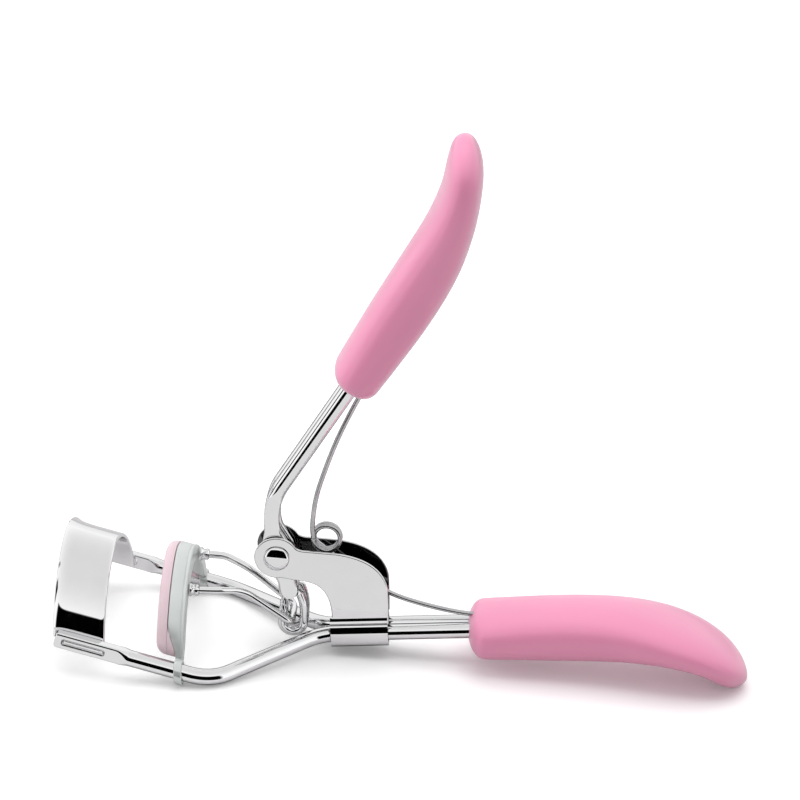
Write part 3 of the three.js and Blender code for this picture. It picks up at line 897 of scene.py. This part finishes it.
def pivot_rivet():
    face = EAR_IN + SHEET + 0.04
    crown = 1.0
    profile = [(0, -face - crown)]
    for t in np.linspace(0, math.pi / 2, 15)[1:]:
        profile.append((RIVET_HEAD_R * math.sin(t), -face - 0.16 - (crown - 0.16) * math.cos(t)))
    profile += [(RIVET_HEAD_R - 0.02, -face - 0.06), (RIVET_HEAD_R - 0.12, -face), (RIVET_R, -face)]
    other = [(r, -y) for r, y in reversed(profile)]
    return lathe("pivot_rivet_turned", profile + other, (PIVOT_X, 0, PIVOT_Z), Y_AXIS, 64)


# ---- lever ----
def lever_rod(name):
    """A round shaft that is pressed flat from the knee down, with a hook of round wire at its foot."""
    far = UPPER_GRIP_AT + SOCKET_DEPTH - 1
    top = (
        KNEE_X + far * math.cos(LEVER_SLOPE),
        -LEVER_Y,
        KNEE_Z + far * math.sin(LEVER_SLOPE),
    )
    p = PIVOT_X, PIVOT_Z
    centre = rounded_path(
        [
            top,
            (KNEE_X - 0.25, -LEVER_Y, KNEE_Z - 0.45),
            (p[0] - 1.3, -LEVER_Y, p[1] + 5.2),
            (p[0] + 0.1, -LEVER_Y, p[1]),
            (p[0] + 2.2, -LEVER_Y, p[1] - 5.6),
            (p[0] + 2.9, -LEVER_Y, p[1] - 8.9),
        ],
        [3.6, 2.2, 2, 1.4],
        step=0.3,
    )
    total = arc_lengths(centre)[-1]
    half_width = curve_through(
        [[-9, 1.75], [-7, 1.8], [-5, 1.7], [-3.5, 2.1], [0, 3.1]]
        + [[3, 2.3], [5, 1.6], [8, 1.42], [12, 1.5], [16, 1.5]]
    )

    def section(i, length):
        z = centre[i][2] - p[1]
        flat = 1 - ramp(z, 9.6, 13.4)
        end = end_scale(total - length, 2 * total, 1.3)
        wide = (half_width(min(16, max(-9, z))) if z < 16 else LEVER_R) * (0.35 + 0.65 * end)
        thick = LEVER_R + (LEVER_FLAT / 2 - LEVER_R) * flat
        return superellipse(thick, wide, 2 + 3.5 * flat, 44)

    rod = loft(name, swept_rings(centre, section, Y_AXIS))

    right, left = HOOK_X + HOOK_R, HOOK_X - HOOK_R
    points = quadratic((p[0] + 4.5, p[1] - 7.4), (right, HOOK_Z + 4.4), (right, HOOK_Z + 2), 12)
    points = [np.array([p[0] + 4.5, p[1] - 7.4])] + points
    for t in np.linspace(0, -math.pi, 25):
        points.append(np.array([HOOK_X + HOOK_R * math.cos(t), HOOK_Z + HOOK_R * math.sin(t)]))
    points += [np.array([left, HOOK_Z + z]) for z in (0.9, 1.8, 2.7, 3.6)]
    path = np.array([(x, -HOOK_Y, z) for x, z in points])
    hook = tube("hook", path, HOOK_WIRE_R, Y_AXIS, 24, 0.5)
    return boolean(rod, "UNION", hook)


# ---- spring ----
def coil_points():
    start, end = math.pi, 2 * math.pi * SPRING_TURNS + LEAVE_ANGLE
    points = []
    for angle in np.linspace(start, end, 220):
        y = SPRING_PITCH * ((angle - start) / (2 * math.pi) - SPRING_TURNS / 2)
        points.append(
            (
                SPRING_X + SPRING_R * math.cos(angle),
                y,
                SPRING_Z + SPRING_R * math.sin(angle),
            )
        )
    return points


def torsion_spring():
    coil = coil_points()
    leg = spline(
        [
            coil[-4],
            coil[-1],
            (BEND_X + 19.4, 1.4, 20.3),
            (BEND_X + 24.5, 1, 16.6),
            (BEND_X + 31.7, 0.4, 12.9),
            (BEND_X + 39, 0, 11.1),
            (BEND_X + 47.8, 0, 10),
            (BEND_X + 56, 0, handle_z(BEND_X + 56) + 2.2),
        ],
        150,
    )
    path = np.array(coil[:-4] + leg.tolist())
    return tube("torsion_spring_wire", path, SPRING_WIRE_R, Y_AXIS, 18, 0.2)


def spring_leg():
    coil = coil_points()
    path = spline(
        [
            coil[0],
            (BEND_X + 16.05, -1, 26.4),
            (BEND_X + 16.3, -0.9, 31.9),
            (BEND_X + 17.1, -0.7, 36),
            (BEND_X + 19.5, -0.4, 44.5),
            (BEND_X + 22.6, 0, 52.5),
            (BEND_X + 25, 0, 57.8),
            (BEND_X + 26.8, 0, 61.4),
        ],
        120,
    )
    return tube("spring_leg_bent", path, SPRING_WIRE_R, Y_AXIS, 18, 0.2)


# ---- grips ----
def grip(name, length, drop, bend_share, flip, slope, origin, at):
    """A moulded grip whose centre line bends more and more towards its tip."""
    half_width = curve_through(
        [[0, 7.7], [8, 7.5], [18, 7.5], [28, 8], [37, 9.1], [44, 9.2], [50, 8], [length, 5.5]]
    )
    half_thickness = curve_through(
        [[0, 4.4], [8, 4.9], [18, 5.3], [28, 5.1], [37, 4.2], [44, 3.5], [50, 3.3], [length, 3.6]]
    )
    bend_degrees = curve_through(
        [[0, 0], [8, 0.5], [18, 1.2], [28, 5], [37, 14], [44, 25], [50, 41], [length, 56]]
    )
    step = 0.25
    line = [(0.0, -drop, 0.0)]
    while len(line) * step <= length + 2 * step:
        along = len(line) * step
        bend = math.radians(bend_share * bend_degrees(min(along, length)))
        x, z, _ = line[-1]
        line.append((x + step * math.cos(bend), z - step * math.sin(bend), bend))
    line = np.array(line)

    def rounded_end(distance, run, power):
        share = 1 - min(1, max(0, distance) / run)
        return math.sqrt(max(0, 1 - share**power))

    rings = []
    for u in np.linspace(0, math.pi, 150)[1:-1]:
        along = length * (1 - math.cos(u)) / 2
        end = min(rounded_end(along, 3.5, 2.4), rounded_end(length - along, 8, 2.2))
        squareness = 2.45
        flat = superellipse(end * half_width(along), end * half_thickness(along), squareness, 96)
        place = along / step
        x, z, bend = (np.interp(place, np.arange(len(line)), line[:, k]) for k in range(3))
        ring = np.column_stack(
            [x + flat[:, 1] * math.sin(bend), flat[:, 0], z + flat[:, 1] * math.cos(bend)]
        )
        if flip:
            ring[:, 1:] *= -1
        ring[:, 0] += at
        c, s = math.cos(slope), math.sin(slope)
        rings.append(
            np.column_stack(
                [
                    origin[0] + c * ring[:, 0] - s * ring[:, 2],
                    ring[:, 1],
                    origin[1] + s * ring[:, 0] + c * ring[:, 2],
                ]
            )
        )
    return loft(name, rings)


# ---- materials ----
class Nodes:
    """A short way to write a material's nodes."""

    def __init__(self, name):
        self.material = bpy.data.materials.new(name)
        self.material.use_nodes = True
        self.tree = self.material.node_tree
        self.shader = self.tree.nodes["Principled BSDF"]
        self.coords = self.tree.nodes.new("ShaderNodeTexCoord").outputs["Object"]

    def add(self, kind, inputs=(), **settings):
        node = self.tree.nodes.new(kind)
        for key, value in settings.items():
            setattr(node, key, value)
        for socket, value in dict(inputs).items():
            if isinstance(value, bpy.types.NodeSocket):
                self.tree.links.new(value, node.inputs[socket])
            else:
                node.inputs[socket].default_value = value
        return node

    def mapped(self, scale):
        return self.add(
            "ShaderNodeMapping", {"Vector": self.coords, "Scale": scale}
        ).outputs["Vector"]

    def noise(self, scale, detail=3.0, stretch=(1, 1, 1), roughness=0.5):
        return self.add(
            "ShaderNodeTexNoise",
            {
                "Vector": self.mapped(stretch),
                "Scale": scale,
                "Detail": detail,
                "Roughness": roughness,
            },
        ).outputs["Fac"]

    def between(self, value, low, high, out_low, out_high):
        return self.add(
            "ShaderNodeMapRange",
            {
                "Value": value,
                "From Min": low,
                "From Max": high,
                "To Min": out_low,
                "To Max": out_high,
            },
        ).outputs["Result"]

    def colours(self, value, first, second):
        node = self.add("ShaderNodeValToRGB", {"Fac": value})
        node.color_ramp.elements[0].color = (*first, 1)
        node.color_ramp.elements[1].color = (*second, 1)
        node.color_ramp.elements[0].position = 0.3
        node.color_ramp.elements[1].position = 0.7
        return node.outputs["Color"]

    def bump(self, height, strength, distance):
        return self.add(
            "ShaderNodeBump",
            {"Height": height, "Strength": strength, "Distance": distance},
        ).outputs["Normal"]

    def finish(self, **links):
        for socket, value in links.items():
            self.tree.links.new(value, self.shader.inputs[socket.replace("_", " ")])
        return self.material

    def set(self, **values):
        for socket, value in values.items():
            self.shader.inputs[socket.replace("_", " ")].default_value = value


def plated(name, light, dark, roughness, wave, edge, inside=None, foot=None, metal=1.0):
    """Plated metal: faint clouding, fine polishing lines and a slightly uneven surface.

    roughness is a smooth and a worn value, and edge is how much it reflects at a grazing angle.
    inside is the share of the colour kept between the ears: painted shade there, not thinner plating.
    foot is the roughness of the polished loops at the jaw's feet.
    """
    m = Nodes(name)
    m.set(Metallic=metal, Specular_Tint=(edge, edge, edge, 1))
    cloud = m.noise(260, 4.0)
    lines = m.noise(900, 2.0, (1, 0.15, 1))
    swell = m.noise(90, 2.0)
    place = m.add("ShaderNodeSeparateXYZ", {"Vector": m.coords}).outputs
    colour = m.colours(cloud, dark, light)
    # painted shade: between the ears the colour is darkened to the share given by inside
    if inside is not None:
        across = m.add("ShaderNodeMath", {0: place["Y"]}, operation="ABSOLUTE")
        wall, fade = (EAR_IN + 0.1) * MM, 0.03 * MM
        share = m.between(across.outputs[0], wall - fade, wall + fade, inside, 1.0)
        colour = m.add(
            "ShaderNodeMix",
            {"Factor": 1.0, 6: colour, 7: share},
            data_type="RGBA",
            blend_type="MULTIPLY",
        ).outputs[2]
    rough = m.between(lines, 0.35, 0.75, *roughness)
    if foot is not None:
        share = m.between(place["Z"], 4.2 * MM, 5.4 * MM, foot / roughness[0], 1.0)
        rough = m.add("ShaderNodeMath", {0: rough, 1: share}, operation="MULTIPLY").outputs[0]
    normal = m.bump(swell, wave, 0.0004)
    return m.finish(Base_Color=colour, Roughness=rough, Normal=normal)


def soft_plastic(name, light, dark, roughness, grain, scatter, coat, sheen):
    """Moulded plastic or silicone: a little colour drift, and a fine moulded skin."""
    m = Nodes(name)
    m.set(
        Subsurface_Weight=scatter,
        Subsurface_Radius=(0.9, 0.35, 0.4),
        Subsurface_Scale=0.002,
        Coat_Weight=coat,
        Coat_Roughness=0.25,
        Sheen_Weight=sheen,
        Sheen_Roughness=0.5,
    )
    drift = m.noise(60, 3.0)
    skin = m.noise(1500, 3.0)
    flow = m.noise(35, 2.0, (0.3, 1, 1))
    colour = m.colours(drift, dark, light)
    rough = m.between(flow, 0.3, 0.7, roughness - 0.04, roughness + 0.05)
    normal = m.bump(skin, grain, 0.0001)
    return m.finish(Base_Color=colour, Roughness=rough, Normal=normal)


chrome = plated(
    "chrome_wire",
    light=(0.9, 0.9, 0.905),
    dark=(0.87, 0.87, 0.88),
    roughness=(0.03, 0.07),
    wave=0.02,
    edge=0.1,
)
sheet_chrome = plated(
    "chrome_sheet",
    light=(0.9, 0.895, 0.9),
    dark=(0.87, 0.87, 0.88),
    roughness=(0.03, 0.08),
    wave=0.012,
    edge=0.75,
)
bracket_chrome = plated(
    "bracket_sheet",
    light=(0.88, 0.875, 0.88),
    dark=(0.85, 0.85, 0.86),
    roughness=(0.03, 0.08),
    wave=0.012,
    edge=0.1,
    # painted shade: the colour between the ears is darkened to 0.16
    inside=0.16,
)
satin = plated(
    "satin_sheet",
    light=(0.69, 0.725, 0.71),
    dark=(0.66, 0.695, 0.68),
    roughness=(0.3, 0.4),
    wave=0.02,
    edge=0.8,
    foot=0.1,
    metal=0.45,
)
spring_steel = plated(
    "spring_steel",
    light=(0.62, 0.62, 0.63),
    dark=(0.5, 0.5, 0.51),
    roughness=(0.2, 0.32),
    wave=0.03,
    edge=0.3,
)
pad_material = soft_plastic(
    "silicone",
    light=(0.76, 0.595, 0.64),
    dark=(0.72, 0.56, 0.61),
    roughness=0.5,
    grain=0.1,
    scatter=0.15,
    coat=0.0,
    sheen=0.1,
)
grip_material = soft_plastic(
    "grip_plastic",
    light=(0.89, 0.31, 0.5),
    dark=(0.865, 0.295, 0.48),
    roughness=0.42,
    grain=0.06,
    scatter=0.1,
    coat=0.6,
    sheen=0.2,
)


def piece(obj, body, material, slot, *nodes):
    """Finishes a piece: shading, material, the body it rides on and the CAD nodes it stands for."""
    smooth(obj, flat_faces=material in (sheet_chrome, bracket_chrome))
    obj.data.materials.clear()
    obj.data.materials.append(material)
    if body:
        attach(obj, body)
    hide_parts(*nodes)
    return obj


# ---- the pieces ----
rod = frame_rod("frame_rod_near_wire")
far_rod = mirrored(rod, "frame_rod_far_wire")
piece(rod, "frame", chrome, "chromed_wire", "frame_rod_near")
piece(far_rod, "frame", chrome, "chromed_wire", "frame_rod_far")
piece(fixed_jaw(), "frame", sheet_chrome, "chromed_sheet", "fixed_jaw_plate")
piece(sliding_jaw(), "jaw", satin, "satin_sheet", "sliding_jaw")
pad = piece(silicone_pad(), "jaw", pad_material, "pad", "silicone_pad")
socket = fork_socket("fork_socket_near_turned")
far_socket = mirrored(socket, "fork_socket_far_turned")
piece(socket, "jaw", chrome, "satin_sheet", "fork_socket_near")
piece(far_socket, "jaw", chrome, "satin_sheet", "fork_socket_far")
piece(push_fork(), "fork", chrome, "chromed_wire", "push_fork")
piece(hinge_bracket(), "frame", bracket_chrome, "chromed_sheet", "hinge_bracket")
piece(pivot_rivet(), "frame", sheet_chrome, "chromed_wire", "pivot_rivet")
lever = lever_rod("lever_rod_near_pressed")
far_lever = mirrored(lever, "lever_rod_far_pressed")
piece(lever, "lever", chrome, "chromed_wire", "lever_rod_near")
piece(far_lever, "lever", chrome, "chromed_wire", "lever_rod_far")
piece(torsion_spring(), "frame", spring_steel, "spring_wire", "torsion_spring")
leg = piece(spring_leg(), None, spring_steel, "spring_wire", "spring_upper_leg")
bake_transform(leg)
lower = grip(
    "lower_grip_moulded",
    LOWER_GRIP_LENGTH,
    drop=0.6,
    bend_share=1,
    flip=False,
    slope=HANDLE_SLOPE,
    origin=(BEND_X, BEND_Z),
    at=LOWER_GRIP_AT,
)
piece(lower, "frame", grip_material, "grip", "lower_grip")
upper = grip(
    "upper_grip_moulded",
    UPPER_GRIP_LENGTH,
    drop=0.1,
    bend_share=0.98,
    flip=True,
    slope=LEVER_SLOPE,
    origin=(KNEE_X, KNEE_Z),
    at=UPPER_GRIP_AT,
)
piece(upper, "lever", grip_material, "grip", "upper_grip")
upper.visible_glossy = False  # left out of the reflections in the chrome


# ---- floor, light and camera ----
FLOOR_FRONT = -0.021  # the reflected floor stops here, so that the chrome shows the dark opening
FLOOR_CORNERS = ((-4, -4), (4, 4))
CAMERA_AT = (-6.833, -289.619, 176.850)
CAMERA_RIGHT = (0.99619, 0.03046, 0.08177)
CAMERA_FORWARD = (0.00408, 0.91981, -0.39235)
SENSOR_WIDTH = 36
LENS = 77.560425


def stage_plane(name, corners, level, colour):
    """A flat sheet between two opposite corners, which isn't part of the object."""
    (x0, y0), (x1, y1) = corners
    mesh = bpy.data.meshes.new(name)
    mesh.from_pydata(
        [(x0, y0, level), (x1, y0, level), (x1, y1, level), (x0, y1, level)],
        [],
        [(0, 1, 2, 3)],
    )
    obj = bpy.data.objects.new(name, mesh)
    bpy.context.scene.collection.objects.link(obj)
    material = bpy.data.materials.new(name)
    material.use_nodes = True
    shader = material.node_tree.nodes["Principled BSDF"]
    shader.inputs["Base Color"].default_value = (*colour, 1)
    shader.inputs["Roughness"].default_value = 1
    shader.inputs["Specular IOR Level"].default_value = 0
    shader.inputs["Emission Color"].default_value = (1, 1, 1, 1)
    obj.data.materials.append(material)
    return obj


def floor():
    """Three sheets: a bright one for the camera, one for bounced light and one for reflections.

    The bright one glows more and more away from the object, so that it ends in plain white.
    """
    seen = stage_plane("floor", FLOOR_CORNERS, -0.00006, (0.97, 0.97, 0.97))
    seen.visible_glossy = False
    seen.visible_diffuse = False
    tree = seen.active_material.node_tree
    away = tree.nodes.new("ShaderNodeVectorMath")
    away.operation = "LENGTH"
    glow = tree.nodes.new("ShaderNodeMapRange")
    glow.inputs["From Min"].default_value = 0.12
    glow.inputs["From Max"].default_value = 0.7
    glow.inputs["To Min"].default_value = 0.12
    glow.inputs["To Max"].default_value = 0.5
    place = tree.nodes.new("ShaderNodeTexCoord")
    tree.links.new(place.outputs["Object"], away.inputs[0])
    tree.links.new(away.outputs["Value"], glow.inputs["Value"])
    shader = tree.nodes["Principled BSDF"]
    tree.links.new(glow.outputs["Result"], shader.inputs["Emission Strength"])
    bounced = stage_plane("floor_bounce", FLOOR_CORNERS, -0.0001, (0.6, 0.6, 0.6))
    bounced.visible_camera = False
    bounced.visible_glossy = False
    mirrored_floor = stage_plane(
        "floor_mirrored", ((-4, FLOOR_FRONT), (4, 4)), -0.00008, (0.72, 0.71, 0.72)
    )
    mirrored_floor.visible_camera = False
    mirrored_floor.visible_diffuse = False
    for obj in (seen, bounced, mirrored_floor):
        obj.visible_shadow = False


def studio():
    """A white light tent.

    Reflections show it with a dark opening in front, where the camera stands, a dark slit on each side
    and a dark gap behind on each side, and dimmer below. Soft light comes from all of it.
    """
    world = bpy.data.worlds.new("tent")
    bpy.context.scene.world = world
    world.use_nodes = True
    tree = world.node_tree
    tree.nodes.clear()

    def node(kind, **inputs):
        """A node with inputs set or linked, by name, or by number as i0, i1 and so on."""
        made = tree.nodes.new(kind)
        for key, value in inputs.items():
            socket = made.inputs[int(key[1:])] if key[0] == "i" else made.inputs[key]
            if isinstance(value, bpy.types.NodeSocket):
                tree.links.new(value, socket)
            else:
                socket.default_value = value
        return made

    def math_node(operation, a, b=0.0):
        made = node("ShaderNodeMath", i0=a, i1=b)
        made.operation = operation
        return made.outputs[0]

    def mapped(value, low, high, out_low=0.0, out_high=1.0, how="LINEAR"):
        made = node("ShaderNodeMapRange", Value=value)
        made.interpolation_type = how
        made.inputs["From Min"].default_value = low
        made.inputs["From Max"].default_value = high
        made.inputs["To Min"].default_value = out_low
        made.inputs["To Max"].default_value = out_high
        return made.outputs["Result"]

    def window(value, low, high, soft):
        """1 while value is between low and high."""
        up = mapped(value, low - soft, low + soft, how="SMOOTHSTEP")
        down = mapped(value, high - soft, high + soft, how="SMOOTHSTEP")
        return math_node("SUBTRACT", up, down)

    direction = node("ShaderNodeTexCoord").outputs["Generated"]
    split = node("ShaderNodeSeparateXYZ", Vector=direction)
    x, y, z = split.outputs
    azimuth = math_node("ARCTAN2", x, y)
    side = math_node("ABSOLUTE", azimuth)
    front = math_node(
        "MULTIPLY", window(side, 2.3, 4.0, 0.05), window(z, -0.3, 0.55, 0.015)
    )
    slits = math_node(
        "MULTIPLY", window(side, 1.64, 1.9, 0.01), window(z, -0.3, 0.6, 0.03)
    )
    gaps = math_node(
        "MULTIPLY", window(side, 0.3, 0.72, 0.03), window(z, -0.4, 0.1, 0.03)
    )
    dark = math_node("MAXIMUM", front, math_node("MAXIMUM", slits, gaps))
    light = math_node("SUBTRACT", 1.0, dark)
    above = mapped(z, 0.45, 0.95, 1.1, 0.78)
    below = mapped(z, -0.36, -0.3, 0.71, 1.0)
    tent = math_node("MULTIPLY", math_node("MULTIPLY", light, above), below)
    overhead = mapped(z, -0.2, 1.0, 0.45, 0.6)
    path = node("ShaderNodeLightPath")
    white = (1, 1, 1, 1)
    mirrored_light = node("ShaderNodeBackground", Strength=tent, Color=white)
    soft_light = node("ShaderNodeBackground", Strength=overhead, Color=white)
    plain = node("ShaderNodeBackground", Strength=1.2, Color=white)
    lit = node(
        "ShaderNodeMixShader",
        i0=path.outputs["Is Glossy Ray"],
        i1=soft_light.outputs[0],
        i2=mirrored_light.outputs[0],
    )
    seen = node(
        "ShaderNodeMixShader",
        i0=path.outputs["Is Camera Ray"],
        i1=lit.outputs[0],
        i2=plain.outputs[0],
    )
    node("ShaderNodeOutputWorld", Surface=seen.outputs[0])


def area(name, location, target, size, power):
    data = bpy.data.lights.new(name, "AREA")
    data.shape = "RECTANGLE"
    data.size, data.size_y = size
    data.energy = power
    obj = bpy.data.objects.new(name, data)
    bpy.context.scene.collection.objects.link(obj)
    obj.location = location
    direction = Vector(target) - Vector(location)
    obj.rotation_euler = direction.to_track_quat("-Z", "Y").to_euler()
    obj.visible_camera = False
    obj.visible_glossy = False


def camera():
    data = bpy.data.cameras.new("camera")
    data.sensor_width = SENSOR_WIDTH
    data.lens = LENS
    data.clip_start = 0.01
    data.clip_end = 20
    obj = bpy.data.objects.new("camera", data)
    bpy.context.scene.collection.objects.link(obj)
    right = Vector(CAMERA_RIGHT).normalized()
    forward = Vector(CAMERA_FORWARD).normalized()
    up = right.cross(forward)
    turn = Matrix((right, up, -forward)).transposed().to_4x4()
    obj.matrix_world = Matrix.Translation(Vector(CAMERA_AT) * MM) @ turn
    bpy.context.scene.camera = obj


floor()
studio()
area("overhead", (0.0, 0.1, 0.9), (0, 0, 0), (0.9, 0.9), 5.0)
area("left", (-0.8, 0.05, 0.45), (0, 0, 0.05), (0.6, 0.6), 3.0)
camera()
scene = bpy.context.scene
scene.view_settings.view_transform = "Standard"
scene.view_settings.look = "None"
